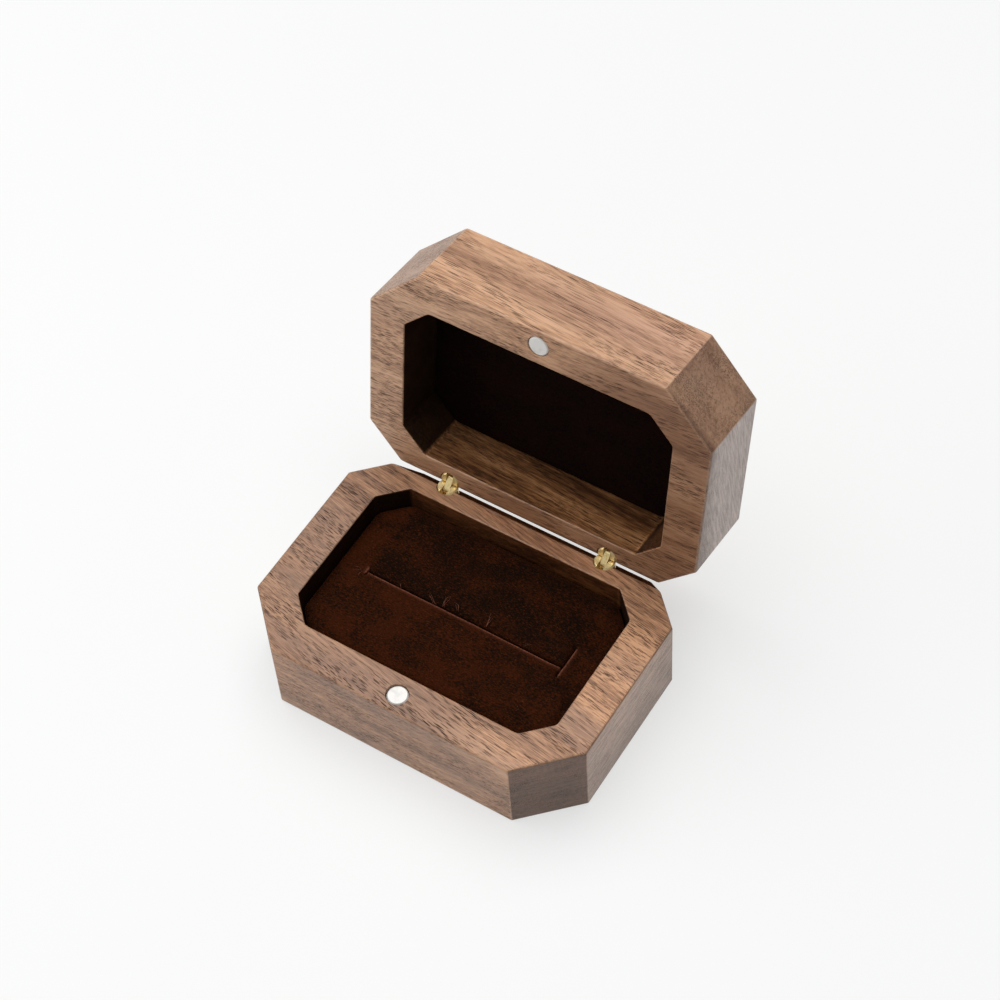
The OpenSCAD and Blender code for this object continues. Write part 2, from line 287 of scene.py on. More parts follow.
def buildGrain():
    group, given, result = startGroup(
        "walnutGrain",
        [("Vector", "NodeSocketVector", None), ("Light", "NodeSocketColor", None),
         ("Middle", "NodeSocketColor", None), ("Dark", "NodeSocketColor", None),
         ("Cool", "NodeSocketColor", None), ("Pore", "NodeSocketColor", None),
         ("Pore Amount", "NodeSocketFloat", 0.7), ("Cool Amount", "NodeSocketFloat", 0.4),
         ("Pore Shortness", "NodeSocketFloat", 1.0), ("Shift", "NodeSocketFloat", 0.0)],
        [("Color", "NodeSocketColor"), ("Roughness", "NodeSocketFloat"),
         ("Height", "NodeSocketFloat"), ("Pores", "NodeSocketFloat")],
    )
    where = put(group, "ShaderNodeVectorMath", {0: given.outputs["Vector"],
                1: given.outputs["Shift"]}, operation="ADD").outputs[0]
    wander = put(group, "ShaderNodeTexNoise", {
        "Vector": stretched(group, where, grain["wander"]), "Scale": 1, "Detail": 2,
        "Roughness": 0.45})
    centred = put(group, "ShaderNodeVectorMath", {0: wander.outputs["Color"],
                  1: (0.5, 0.5, 0.5)}, operation="SUBTRACT").outputs[0]
    reach = grain["wanderReach"] * millimetre
    pushed = put(group, "ShaderNodeVectorMath", {0: centred, 1: (0, reach, reach)},
                 operation="MULTIPLY").outputs[0]
    bent = put(group, "ShaderNodeVectorMath", {0: where, 1: pushed}, operation="ADD").outputs[0]
    figure = clouds(group, bent, grain["figure"], 2)
    bands = clouds(group, bent, grain["bands"], 3, 0.55)
    fibres = clouds(group, bent, grain["fibres"], 2, 0.6)
    tone = clouds(group, bent, grain["tone"], 1)
    patches = clouds(group, bent, grain["patches"], 2)
    shortness = put(group, "ShaderNodeCombineXYZ", {
        "X": given.outputs["Pore Shortness"], "Y": 1, "Z": 1}).outputs["Vector"]
    poreWhere = put(group, "ShaderNodeVectorMath", {
        0: stretched(group, bent, grain["pores"]), 1: shortness}, operation="MULTIPLY")
    cells = put(group, "ShaderNodeTexVoronoi", {
        "Vector": poreWhere.outputs[0], "Scale": 1}, feature="F1")
    spots = fade(group, cells.outputs["Distance"], *grain["poreEdge"])
    crowd = fade(group, weighed(group, [(patches, 0.7), (bands, 0.5)]), *grain["poreRange"])
    pores = calculate(group, "MULTIPLY", spots, crowd)
    mixed = weighed(group, [(figure, 0.75), (bands, 0.8), (fibres, 0.75)])
    lightness = fade(group, mixed, *grain["lightRange"])
    lowerShare = put(group, "ShaderNodeMapRange", {
        "Value": lightness, "From Min": 0.0, "From Max": 0.5}).outputs["Result"]
    upperShare = put(group, "ShaderNodeMapRange", {
        "Value": lightness, "From Min": 0.5, "From Max": 1.0}).outputs["Result"]
    wood = mixColours(group, lowerShare, given.outputs["Dark"], given.outputs["Middle"])
    wood = mixColours(group, upperShare, wood, given.outputs["Light"])
    coolShare = calculate(group, "MULTIPLY", fade(group, tone, *grain["coolRange"]),
                          given.outputs["Cool Amount"])
    wood = mixColours(group, coolShare, wood, given.outputs["Cool"])
    poreShare = calculate(group, "MULTIPLY", pores, given.outputs["Pore Amount"])
    wood = mixColours(group, poreShare, wood, given.outputs["Pore"])
    rough = weighed(group, [(fibres, 0.14), (pores, 0.25)], grain["roughness"])
    height = weighed(group, [(pores, -0.8), (fibres, 0.25)])
    group.links.new(wood, result.inputs["Color"])
    group.links.new(rough, result.inputs["Roughness"])
    group.links.new(height, result.inputs["Height"])
    group.links.new(pores, result.inputs["Pores"])
    return group


def buildEdgeWear():
    # paler rounded edges, broken up by noise
    group, given, result = startGroup(
        "edgeWear",
        [("Vector", "NodeSocketVector", None), ("Color", "NodeSocketColor", None),
         ("Edge", "NodeSocketFloat", 0.0), ("Worn", "NodeSocketColor", None),
         ("Amount", "NodeSocketFloat", 0.5), ("Patch Size", "NodeSocketFloat", 3.0)],
        [("Color", "NodeSocketColor")],
    )
    scale = calculate(group, "DIVIDE", 1 / millimetre, given.outputs["Patch Size"])
    patches = put(group, "ShaderNodeTexNoise", {
        "Vector": given.outputs["Vector"], "Scale": scale, "Detail": 3}).outputs["Fac"]
    share = calculate(group, "MULTIPLY", given.outputs["Edge"],
                      fade(group, patches, *grain["wornRange"]))
    share = calculate(group, "MULTIPLY", share, given.outputs["Amount"])
    worn = mixColours(group, share, given.outputs["Color"], given.outputs["Worn"])
    group.links.new(worn, result.inputs["Color"])
    return group


def tintPatch(tree, where, colour, centre, reach, tint):
    # a darker or paler patch, partly the board's own tone and partly painted light and shade,
    # strongest at its centre and ragged at its rim
    offset = put(tree, "ShaderNodeVectorMath", {
        0: where, 1: [part * millimetre for part in centre]}, operation="SUBTRACT").outputs[0]
    spread = put(tree, "ShaderNodeVectorMath", {0: stretched(tree, offset, reach)},
                 operation="LENGTH").outputs["Value"]
    ragged = clouds(tree, where, grain["ragged"], 3)
    spread = weighed(tree, [(ragged, 0.5), (spread, 1.0)], -0.25)
    tinted = mixColours(tree, 1.0, colour, tint, blend="MULTIPLY")
    return mixColours(tree, fade(tree, spread, 1.0, 0.25), colour, tinted)


def shadeEnds(tree, look, where, facing, colour):
    # darker at the corners that cut across the grain, and paler and greyer on the square ends
    # as a painted sheen, where the growth rings are fine straight lines
    rings = fade(tree, clouds(tree, where, grain["rings"], 3, 0.6), *grain["ringRange"])
    darker, lighter = grain["ringShades"]

    def ringed(shade):
        return mixColours(tree, rings, paler(shade, darker), paler(shade, lighter))

    squareness = calculate(tree, "ABSOLUTE", facing)
    slanting = weighed(
        tree, [(fade(tree, squareness, *grain["slantRange"]), -look["endPaleness"])],
        fade(tree, squareness, *grain["acrossRange"]))
    share = calculate(tree, "MULTIPLY", slanting, look["endDarkening"])
    colour = mixColours(tree, share, colour, ringed(look["endGrain"]))
    share = calculate(tree, "MULTIPLY", fade(tree, squareness, *grain["squareRange"]),
                      look["endSheenAmount"])
    return mixColours(tree, share, colour, ringed(look["endSheen"]))


def walnutMaterial(name, look):
    # waxed on the outside, and left raw inside the hollow and on the back bevel, where the raw
    # wood is painted darker as shade
    material = newMaterial(name)
    tree = material.node_tree
    shader = tree.nodes["Principled BSDF"]
    coordinates = put(tree, "ShaderNodeTexCoord")
    where = put(tree, "ShaderNodeMapping", {
        "Vector": coordinates.outputs["Object"],
        "Rotation": [math.radians(turn) for turn in look["turn"]],
    }).outputs["Vector"]
    facing = put(tree, "ShaderNodeSeparateXYZ", {0: coordinates.outputs["Normal"]})
    # the pores are fewer where a long side cuts the growth rings flat
    flatness = fade(tree, calculate(tree, "ABSOLUTE", facing.outputs["Y"]), *grain["sideRange"])
    poreAmount = weighed(tree, [(flatness, -look["sideLoss"])], look["poreAmount"])
    wood = useGroup(tree, groups["grain"], {
        "Vector": where, "Light": look["light"], "Middle": look["middle"], "Dark": look["dark"],
        "Cool": look["cool"], "Pore": look["pore"], "Pore Amount": poreAmount,
        "Cool Amount": look["coolAmount"], "Shift": look["shift"] * millimetre,
        "Pore Shortness": 1 / look["poreLength"],
    })
    colour = shadeEnds(tree, look, where, facing.outputs["X"], wood.outputs["Color"])
    # patches of the board's own tone and of painted light and shade
    for centre, reach, tint in look["toneAndShadingPatches"]:
        colour = tintPatch(tree, coordinates.outputs["Object"], colour, centre, reach, tint)
    edge = put(tree, "ShaderNodeAttribute", attribute_name="edgeWear").outputs["Fac"]
    worn = useGroup(tree, groups["edgeWear"], {
        "Vector": where, "Color": colour, "Edge": edge, "Worn": look["worn"],
        "Amount": look["wornAmount"], "Patch Size": look["wornPatch"],
    })
    bump = put(tree, "ShaderNodeBump", {
        "Height": wood.outputs["Height"], "Strength": look["bump"],
        "Distance": grain["bumpDepth"] * millimetre})
    if look["wax"]:
        # the wax is thin over the open pores
        wax = weighed(tree, [(wood.outputs["Pores"], -look["wax"])], look["wax"])
        tree.links.new(wax, shader.inputs["Coat Weight"])
    shader.inputs["Coat Roughness"].default_value = look["waxRoughness"]
    tree.links.new(worn.outputs["Color"], shader.inputs["Base Color"])
    tree.links.new(wood.outputs["Roughness"], shader.inputs["Roughness"])
    tree.links.new(bump.outputs["Normal"], shader.inputs["Normal"])
    shader.inputs["IOR"].default_value = 1.5
    shader.inputs["Specular IOR Level"].default_value = look["gloss"]
    return material


baseWalnut = {
    "light": paint(194, 146, 108), "middle": paint(160, 116, 84), "dark": paint(108, 74, 52),
    "cool": paint(146, 116, 98), "coolAmount": 0.35,
    "pore": paint(40, 20, 11), "poreAmount": 0.92, "poreLength": 1.1, "sideLoss": 0.4,
    # where the half was cut from the board, and how it lay in it
    "shift": 13.0, "turn": (0, 1.5, 10),
    "endGrain": paint(84, 58, 44), "endDarkening": 0.85, "endPaleness": 0.75,
    # the square ends get a pale grey painted sheen
    "endSheen": paint(159, 135, 122), "endSheenAmount": 0.7,
    # centre and reach in millimetres, and what the colour is multiplied by
    # partly the board's own tone and partly painted light and shade: the back rim by the lid is
    # painted darker as shade
    "toneAndShadingPatches": [((33, -2, 15), (18, 24, 12), (1.36, 1.36, 1.34)),
              ((-8, -22, 17), (26, 6, 6), (0.88, 0.88, 0.92)),
              ((24, -22, 16), (16, 6, 6), (1.34, 1.37, 1.4)),
              ((4, 20, 17), (30, 5, 8), (0.92, 0.84, 0.8))],
    "worn": paint(208, 172, 144), "wornAmount": 0.28, "wornPatch": 4.0, "bump": 0.6,
    "wax": 0.4, "waxRoughness": 0.34, "gloss": 0.25,
}
lidWalnut = dict(
    baseWalnut, light=paint(222, 177, 142), middle=paint(202, 156, 121),
    dark=paint(160, 117, 88), shift=71.0, turn=(-99.3, 3, -4), endDarkening=0.5,
    poreLength=2.4, poreAmount=0.8, sideLoss=0.0, coolAmount=0.2,
    # a paler, lilac grey painted sheen on the lid's square ends
    endSheen=paint(172, 158, 154), endSheenAmount=0.78,
    # mostly painted light and shade: the rim is painted darker at its right and by the hinges,
    # and a little paler at its left
    toneAndShadingPatches=[((36, 23, 34), (32, 8, 40), (0.52, 0.45, 0.4)),
           ((25, 28, 60), (30, 3, 26), (0.46, 0.38, 0.33)),
           ((0, 21, 16), (44, 5, 10), (0.54, 0.44, 0.36)),
           ((-34, 20, 50), (18, 6, 26), (1.1, 1.1, 1.1)),
           ((20, 40, 66), (40, 9, 14), (0.92, 0.9, 0.96))],
)
# raw wood inside, painted darker as the shade in the hollow, with its end walls painted nearly
# black as shade
rawShadedWalnut = dict(
    baseWalnut, light=paint(128, 78, 44), middle=paint(96, 56, 30), dark=paint(56, 30, 15),
    cool=paint(74, 46, 30), pore=paint(24, 12, 6), endGrain=paint(26, 14, 8), endDarkening=0.92,
    endPaleness=0.0, endSheenAmount=0.0, toneAndShadingPatches=[], wornAmount=0.0, wax=0.0, gloss=0.15,
)
# the lid's raw wood is painted paler as light on its lit low wall, and keeps the nearly black
# painted shade on its end walls
rawLitAndShadedLidWalnut = dict(
    rawShadedWalnut, light=paint(180, 130, 88), middle=paint(138, 94, 58), dark=paint(72, 42, 23),
    pore=paint(30, 15, 7), shift=lidWalnut["shift"], turn=lidWalnut["turn"],
    # painted light: the end of the low wall is painted lighter, as light from the lower half
    # would make it
    toneAndShadingPatches=[((26, 28, 24.5), (6, 16, 5), (2.9, 2.7, 2.5))],
)
# the back bevel is painted dark as shade, with no gloss
shadedBevelWalnut = dict(rawShadedWalnut, gloss=0.0)
shadedBevelLidWalnut = dict(shadedBevelWalnut, shift=lidWalnut["shift"], turn=lidWalnut["turn"])


def everything(shape):
    return shape.verts[:] + shape.edges[:] + shape.faces[:]


def roundEdges(shape, edges, offset, segments=3):
    bmesh.ops.bevel(shape, geom=edges, offset=offset, offset_type="OFFSET", segments=segments,
                    profile=0.5, affect="EDGES", material=-1)


def octagonPrism(length, depth, cut, bottom, top):
    shape = bmesh.new()
    bmesh.ops.create_cube(shape, size=1)
    bmesh.ops.scale(shape, vec=(length, depth, top - bottom), verts=shape.verts)
    bmesh.ops.translate(shape, vec=(0, 0, (top + bottom) / 2), verts=shape.verts)
    roundEdges(shape, uprights(shape), cut, segments=1)
    return shape


def uprights(shape):
    return [
        edge for edge in shape.edges
        if (edge.verts[0].co.xy - edge.verts[1].co.xy).length < samePoint
    ]


def roundUprights(shape, radius):
    # at an eighth of a turn the rounding starts this far from the corner
    reach = radius * math.tan(math.radians(22.5))
    roundEdges(shape, uprights(shape), reach)


def mouthEdges(shape, top, reachX, reachY):
    # the sharp edges round an opening in the top face, within that reach of the middle
    return [
        edge for edge in shape.edges
        if edge.calc_face_angle(0) > sharpAngle
        and all(dot.co.z > top - sameLevel and abs(dot.co.x) < reachX
                and abs(dot.co.y) < reachY for dot in edge.verts)
    ]


def looseObject(shape):
    mesh = bpy.data.meshes.new("loose")
    shape.to_mesh(mesh)
    shape.free()
    loose = bpy.data.objects.new("loose", mesh)
    scene.collection.objects.link(loose)
    return loose


def shapeOf(loose):
    graph = bpy.context.evaluated_depsgraph_get()
    mesh = bpy.data.meshes.new_from_object(loose.evaluated_get(graph))
    shape = bmesh.new()
    shape.from_mesh(mesh)
    bpy.data.meshes.remove(mesh)
    return shape


def dropObject(loose):
    mesh = loose.data
    bpy.data.objects.remove(loose)
    bpy.data.meshes.remove(mesh)


def cutWith(shape, tools):
    solid = looseObject(shape)
    cutters = [looseObject(tool) for tool in tools]
    for cutter in cutters:
        step = solid.modifiers.new("cut", "BOOLEAN")
        step.operation = "DIFFERENCE"
        step.solver = "EXACT"
        step.object = cutter
    left = shapeOf(solid)
    for loose in [solid] + cutters:
        dropObject(loose)
    return left


def lathe(profile, place, segments=48):
    # turns a profile of (radius, height) points about an upright axis
    shape = bmesh.new()
    dots = [shape.verts.new((radius, 0, height)) for radius, height in profile]
    lines = [shape.edges.new(pair) for pair in zip(dots, dots[1:])]
    bmesh.ops.spin(shape, geom=dots + lines, cent=(0, 0, 0), axis=(0, 0, 1), dvec=(0, 0, 0),
                   angle=2 * math.pi, steps=segments, use_merge=True)
    bmesh.ops.remove_doubles(shape, verts=shape.verts, dist=samePoint)
    bmesh.ops.recalc_face_normals(shape, faces=shape.faces)
    bmesh.ops.translate(shape, vec=place, verts=shape.verts)
    return shape


def addPiece(name, shape, place, body, slot, *materials):
    toMetres = Matrix.Scale(millimetre, 4)
    bmesh.ops.transform(shape, matrix=toMetres @ place, verts=shape.verts)
    mesh = bpy.data.meshes.new(name)
    shape.to_mesh(mesh)
    shape.free()
    for material in materials:
        mesh.materials.append(material)
    piece = bpy.data.objects.new(name, mesh)
    scene.collection.objects.link(piece)
    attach(piece, body)
    print("made", name, len(mesh.polygons), "faces")
    return piece


bore = {"barrelRadius": 2.1, "barrelDepth": 7, "magnetRadius": 2.1, "flare": 0.1, "above": 2}
shading = {
    # how well two directions agree on a broad face and on the back bevel
    "broadMatch": 0.9998, "bevelMatch": 0.99,
    # in degrees, the edges that are rounded and those that stay hard to the light
    "cornerAngle": 30, "hardAngle": 40,
    "hollowMargin": 0.05, "floorMargin": 1,
}


def boreTool(radius, depth, place):
    flare, above = bore["flare"], bore["above"]
    profile = [(0, -depth), (radius, -depth), (radius, -flare), (radius + flare, 0),
               (radius + flare, above), (0, above)]
    return lathe(profile, place)


def woodenHalf(height, floor, bevelStart, magnetDepth):
    block = octagonPrism(case["length"], case["depth"], case["cornerCut"], -height, 0)
    roundUprights(block, case["cornerRadius"])
    slope = math.radians(case["bevelSlope"])
    cut = bmesh.ops.bisect_plane(
        block, geom=everything(block), plane_co=(0, bevelStart, 0),
        plane_no=(0, math.sin(slope), math.cos(slope)), clear_outer=True)
    rimOfCut = [part for part in cut["geom_cut"] if isinstance(part, bmesh.types.BMEdge)]
    bmesh.ops.contextual_create(block, geom=rimOfCut)
    corner = math.radians(shading["cornerAngle"])
    sharp = [edge for edge in block.edges if edge.calc_face_angle(0) > corner]
    roundEdges(block, sharp, case["edgeRound"])
    hollowLength = case["length"] - 2 * case["wall"]
    hollowDepth = case["depth"] - 2 * case["wall"]
    tool = octagonPrism(hollowLength, hollowDepth, case["hollowCut"], floor - height, 1)
    roundUprights(tool, case["hollowRadius"])
    block = cutWith(block, [tool])
    brim = mouthEdges(block, 0, hollowLength / 2 + 0.01, hollowDepth / 2 + 0.01)
    roundEdges(block, brim, case["rimRound"])
    tools = [
        boreTool(bore["barrelRadius"], bore["barrelDepth"],
                 (side * case["hingeX"], case["hingeY"], 0))
        for side in (-1, 1)
    ]
    tools.append(boreTool(bore["magnetRadius"], magnetDepth, (0, case["magnetY"], 0)))
    block = cutWith(block, tools)
    shadeWood(block, slope, hollowLength / 2, hollowDepth / 2)
    return block


def shadeWood(block, slope, hollowX, hollowY):
    # broad faces stay flat, and the narrow rounded ones between them are smooth
    across = math.sqrt(0.5)
    broad = [Vector(n) for n in ((1, 0, 0), (0, 1, 0), (0, 0, 1), (across, across, 0),
                                 (across, -across, 0), (0, math.sin(slope), math.cos(slope)))]
    lowest = min(dot.co.z for dot in block.verts)
    margin = shading["hollowMargin"]
    for face in block.faces:
        face.smooth = all(abs(face.normal.dot(n)) < shading["broadMatch"] for n in broad)
        middle = face.calc_center_median()
        inHollow = abs(middle.x) < hollowX + margin and abs(middle.y) < hollowY + margin
        onBevel = abs(face.normal.dot(broad[-1])) > shading["bevelMatch"]
        inside = inHollow and lowest + shading["floorMargin"] < middle.z < -margin
        # waxed wood, raw wood in the hollow with painted shade, and the raw back bevel painted
        # dark as shade
        face.material_index = 2 if onBevel else int(inside)
    for edge in block.edges:
        edge.smooth = edge.calc_face_angle(0) < math.radians(shading["hardAngle"])
    wear = block.verts.layers.float.new("edgeWear")
    for dot in block.verts:
        dot[wear] = float(all(face.smooth for face in dot.link_faces))


def buildHalves():
    base = woodenHalf(case["baseHeight"], case["baseFloor"], case["baseBevelStart"],
                      case["baseMagnetDepth"])
    piece = addPiece("walnutBase", base, baseRim, "base", "walnut",
                     walnutMaterial("waxedWalnutOfBase", baseWalnut),
                     walnutMaterial("rawShadedWalnutOfBase", rawShadedWalnut),
                     walnutMaterial("shadedBevelWalnutOfBase", shadedBevelWalnut))
    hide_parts("base_body")
    lid = woodenHalf(case["lidHeight"], case["lidFloor"], case["lidBevelStart"],
                     case["lidMagnetDepth"])
    piece = addPiece("walnutLid", lid, lidRim, "lid", "walnut",
                     walnutMaterial("waxedWalnutOfLid", lidWalnut),
                     walnutMaterial("rawShadedWalnutOfLid", rawLitAndShadedLidWalnut),
                     walnutMaterial("shadedBevelWalnutOfLid", shadedBevelLidWalnut))
    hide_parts("lid_body")


nap = {
    # sizes in millimetres: strokes of a hand, tufts and single threads of the pile
    "brushed": (7, 4.5, 5), "tufts": (0.62, 0.26, 0.4), "pile": (0.5, 0.1, 0.2),
    "brushedRange": (0.35, 0.68), "tuftRange": (0.36, 0.64), "tipRange": (0.54, 0.74),
    "tipAmount": 0.6, "frayed": (0.5, 0.3, 0.5), "frayedRange": (0.32, 0.6),
    "bumpDepth": 0.12, "roughness": 0.92, "gloss": 0.08, "plainZone": 0.3,
}


def buildVelvetNap():
    group, given, result = startGroup(
        "velvetNap",
        [("Vector", "NodeSocketVector", None), ("Deep", "NodeSocketColor", None),
         ("Raised", "NodeSocketColor", None), ("Tip", "NodeSocketColor", None),
         ("Zone", "NodeSocketFloat", 0.5)],
        [("Color", "NodeSocketColor"), ("Height", "NodeSocketFloat")],
    )
    where = given.outputs["Vector"]
    brushed = clouds(group, where, nap["brushed"], 3, 0.55)
    tufts = clouds(group, where, nap["tufts"], 3, 0.75)
    pile = clouds(group, where, nap["pile"], 2, 0.6)
    lift = weighed(group, [
        (fade(group, tufts, *nap["tuftRange"]), 1.1),
        (fade(group, brushed, *nap["brushedRange"]), 0.7),
        (given.outputs["Zone"], 0.5)], -0.72)
    colour = mixColours(group, lift, given.outputs["Deep"], given.outputs["Raised"])
    tips = calculate(group, "MULTIPLY", fade(group, pile, *nap["tipRange"]), nap["tipAmount"])
    colour = mixColours(group, tips, colour, given.outputs["Tip"])
    height = weighed(group, [(pile, 0.5), (tufts, 0.9), (brushed, 1.4)])
    group.links.new(colour, result.inputs["Color"])
    group.links.new(height, result.inputs["Height"])
    return group


cushionVelvet = {
    "deep": paint(15, 5, 0), "raised": paint(53, 20, 2), "tip": paint(104, 50, 22),
    # the lip colour is partly worn pile and partly a painted highlight
    "lip": paint(146, 88, 68), "sheen": 0.16, "sheenRoughness": 0.35,
    "sheenTint": paint(190, 104, 60), "bump": 1.0, "zones": True,
}
# the lining is the cushion's velvet painted darker as the shade inside the lid
shadedLiningVelvet = dict(
    cushionVelvet, deep=paint(10, 1, 0), raised=paint(24, 6, 1), tip=paint(42, 15, 5),
    sheen=0.05, zones=False,
)
slit = {
    "halfLength": 21, "width": 0.3, "depth": 7, "lipRound": 0.4, "lipWidth": 0.3,
    # the lips lie within this reach past the ends and from the middle, and end this softly
    "reachX": 1, "reachY": 6, "softness": 0.25,
    # how far the short cut goes at the left and right end, to the front and back
    "ends": {-1: (-1, 0.8), 1: (-2.2, 4.6)},
    # the rear lip sinks and the front one stands up, by how much and over what width
    "rearSink": (0.5, 3.2), "frontRise": (0.15, 1.6),
}
zones = {
    # painted light: the velvet is painted lighter in front of the slit, where the nap is raised
    # towards the light, and less so at the right: limit and softness
    "front": (-0.1, 0.15), "right": (14, 3), "rightLoss": 0.6,
    # how pale the lips of the short cuts are, and how far down a lip is pale, as worn pile and
    # painted highlight
    "cutLipWornAndLit": 0.7, "lipDepth": 0.45,
}


def velvetMaterial(name, look):
    material = newMaterial(name)
    tree = material.node_tree
    shader = tree.nodes["Principled BSDF"]
    where = put(tree, "ShaderNodeTexCoord").outputs["Object"]
    zone = nap["plainZone"]
    # the zone paints light on the nap where it lies towards the light
    if look["zones"]:
        zone = put(tree, "ShaderNodeAttribute", attribute_name="napLitZone").outputs["Fac"]
    velvet = useGroup(tree, groups["velvetNap"], {
        "Vector": where, "Deep": look["deep"], "Raised": look["raised"], "Tip": look["tip"],
        "Zone": zone})
    colour = velvet.outputs["Color"]
    if look["zones"]:
        # pale lips: partly worn pile and partly a painted highlight
        lip = put(tree, "ShaderNodeAttribute", attribute_name="slitLipWornAndLit").outputs["Fac"]
        frayed = fade(tree, clouds(tree, where, nap["frayed"], 3), *nap["frayedRange"])
        lip = calculate(tree, "MULTIPLY", lip, weighed(tree, [(frayed, 0.6)], 0.4))
        colour = mixColours(tree, lip, colour, look["lip"])
    bump = put(tree, "ShaderNodeBump", {
        "Height": velvet.outputs["Height"], "Strength": look["bump"],
        "Distance": nap["bumpDepth"] * millimetre})
    tree.links.new(colour, shader.inputs["Base Color"])
    tree.links.new(bump.outputs["Normal"], shader.inputs["Normal"])
    shader.inputs["Roughness"].default_value = nap["roughness"]
    shader.inputs["Specular IOR Level"].default_value = nap["gloss"]
    shader.inputs["Sheen Weight"].default_value = look["sheen"]
    shader.inputs["Sheen Roughness"].default_value = look["sheenRoughness"]
    shader.inputs["Sheen Tint"].default_value = (*look["sheenTint"], 1)
    return material


cushion = {
    # heights from the rim down: underside, crest, cuts for the mesh, and where wood holds it
    "bottom": -13.5, "crest": -3, "levels": (-4.6, -6, -8, -10), "pinBelow": -8.5,
    "gap": 0.2, "swell": 0.4, "crown": 0.5, "shoulder": 1.4, "cornerRadius": 2.6,
    "mesh": 0.8, "unevenness": 0.09,
}
lining = {
    "bottom": -12.5, "crest": -9.8, "levels": (-11,), "pinBelow": -11.4,
    "gap": 0.2, "swell": 0.2, "crown": 0.2, "shoulder": 0.6, "cornerRadius": 1.6,
    "mesh": 0.9, "unevenness": 0.05,
}
swelling = {
    # the cloth is swollen at ten times its size, in metres for each millimetre
    "enlarge": 0.01, "steps": 20, "sidewaysShare": 0.7, "sink": 0.15,
    "quickShare": 0.8, "quickDepth": 0.5,
    "cloth": {"quality": 6, "mass": 0.3, "tension_stiffness": 12, "compression_stiffness": 12,
              "bending_stiffness": 0.6, "use_pressure": True, "uniform_pressure_force": 4},
}
dressing = {
    # the cloth moves more and more from this depth under the top, over this height
    "looseDepth": 3, "looseHeight": 2.5,
    # sizes, seed and share of the uneven spots
    "spots": [((6, 4.5), 3.1, 1), ((2.2, 1.8), 7.7, 0.5)],
}


def slitTools(top):
    depth, width = slit["depth"], slit["width"]
    boxes = [((0, 0), (2 * slit["halfLength"], width))]
    for side, (front, back) in slit["ends"].items():
        boxes.append(((side * slit["halfLength"], (front + back) / 2), (width, back - front)))
    tools = []
    for (x, y), (length, breadth) in boxes:
        tool = bmesh.new()
        bmesh.ops.create_cube(tool, size=1)
        bmesh.ops.scale(tool, vec=(length, breadth, depth + 1), verts=tool.verts)
        bmesh.ops.translate(tool, vec=(x, y, top - (depth - 1) / 2), verts=tool.verts)
        tools.append(tool)
    return tools


def gridCuts(shape, spacing, levels):
    # a mesh fine enough to swell, with no slivers along the sides
    sliver = 0.3

    def splitAt(place, normal):
        bmesh.ops.bisect_plane(shape, geom=everything(shape), plane_co=place, plane_no=normal)

    for axis in (0, 1):
        reach = max(abs(dot.co[axis]) for dot in shape.verts)
        count = int(reach / spacing)
        for step in range(-count, count + 1):
            place, normal = [0, 0, 0], [0, 0, 0]
            place[axis] = (step + 0.5) * spacing
            normal[axis] = 1
            if abs(place[axis]) < reach - sliver:
                splitAt(place, normal)
    for level in levels:
        splitAt((0, 0, level), (0, 0, 1))


def padShape(look, withSlit):
    gap = look["gap"]
    shrink = 2 * (case["wall"] + gap)
    top = look["crest"] - look["swell"]
    cut = case["hollowCut"] - (2 - math.sqrt(2)) * gap
    shape = octagonPrism(case["length"] - shrink, case["depth"] - shrink, cut,
                         look["bottom"], top)
    roundUprights(shape, look["cornerRadius"])
    brim = [edge for edge in shape.edges if all(v.co.z > top - sameLevel for v in edge.verts)]
    roundEdges(shape, brim, look["shoulder"], segments=5)
    if withSlit:
        shape = cutWith(shape, slitTools(top))
        lips = mouthEdges(shape, top, slit["halfLength"] + slit["reachX"], slit["reachY"])
        roundEdges(shape, lips, slit["lipRound"])
    gridCuts(shape, look["mesh"], look["levels"])
    return shape


def swellPad(shape, look):
    # cloth under pressure, with its lower part held by the wood
    enlarge = swelling["enlarge"]
    start = [dot.co.copy() for dot in shape.verts]
    copy = shape.copy()
    bmesh.ops.scale(copy, vec=(enlarge,) * 3, verts=copy.verts)
    held = [dot.index for dot in copy.verts if dot.co.z < look["pinBelow"] * enlarge]
    bmesh.ops.triangulate(copy, faces=[face for face in copy.faces if len(face.verts) > 4])
    pad = looseObject(copy)
    group = pad.vertex_groups.new(name="held")
    group.add(held, 1.0, "REPLACE")
    cloth = pad.modifiers.new("cloth", "CLOTH")
    for name, value in swelling["cloth"].items():
        setattr(cloth.settings, name, value)
    cloth.settings.vertex_group_mass = "held"
    cloth.settings.effector_weights.gravity = 0
    cloth.collision_settings.use_collision = False
    cloth.point_cache.frame_start, cloth.point_cache.frame_end = 1, swelling["steps"]
    for step in range(1, swelling["steps"] + 1):
        scene.frame_set(step)
    swollen = shapeOf(pad)
    ends = [dot.co / enlarge for dot in swollen.verts]
    swollen.free()
    dropObject(pad)
    scene.frame_set(1)
    sideways = look["gap"] * swelling["sidewaysShare"]
    for dot, before, after in zip(shape.verts, start, ends):
        move = after - before
        flat = move.xy
        if flat.length > sideways:
            flat = flat.normalized() * sideways
        rise = max(min(move.z, look["swell"]), -swelling["sink"])
        dot.co = before + Vector((flat.x, flat.y, rise))


def below(value, limit, softness):
    # 1 below the limit and 0 above it, with a soft change between them
    return 1 / (1 + math.exp((value - limit) / softness))


def inSlitRun(x):
    # 1 along the slit, falling off past its ends
    return below(abs(x), slit["halfLength"] - 0.1, slit["softness"])


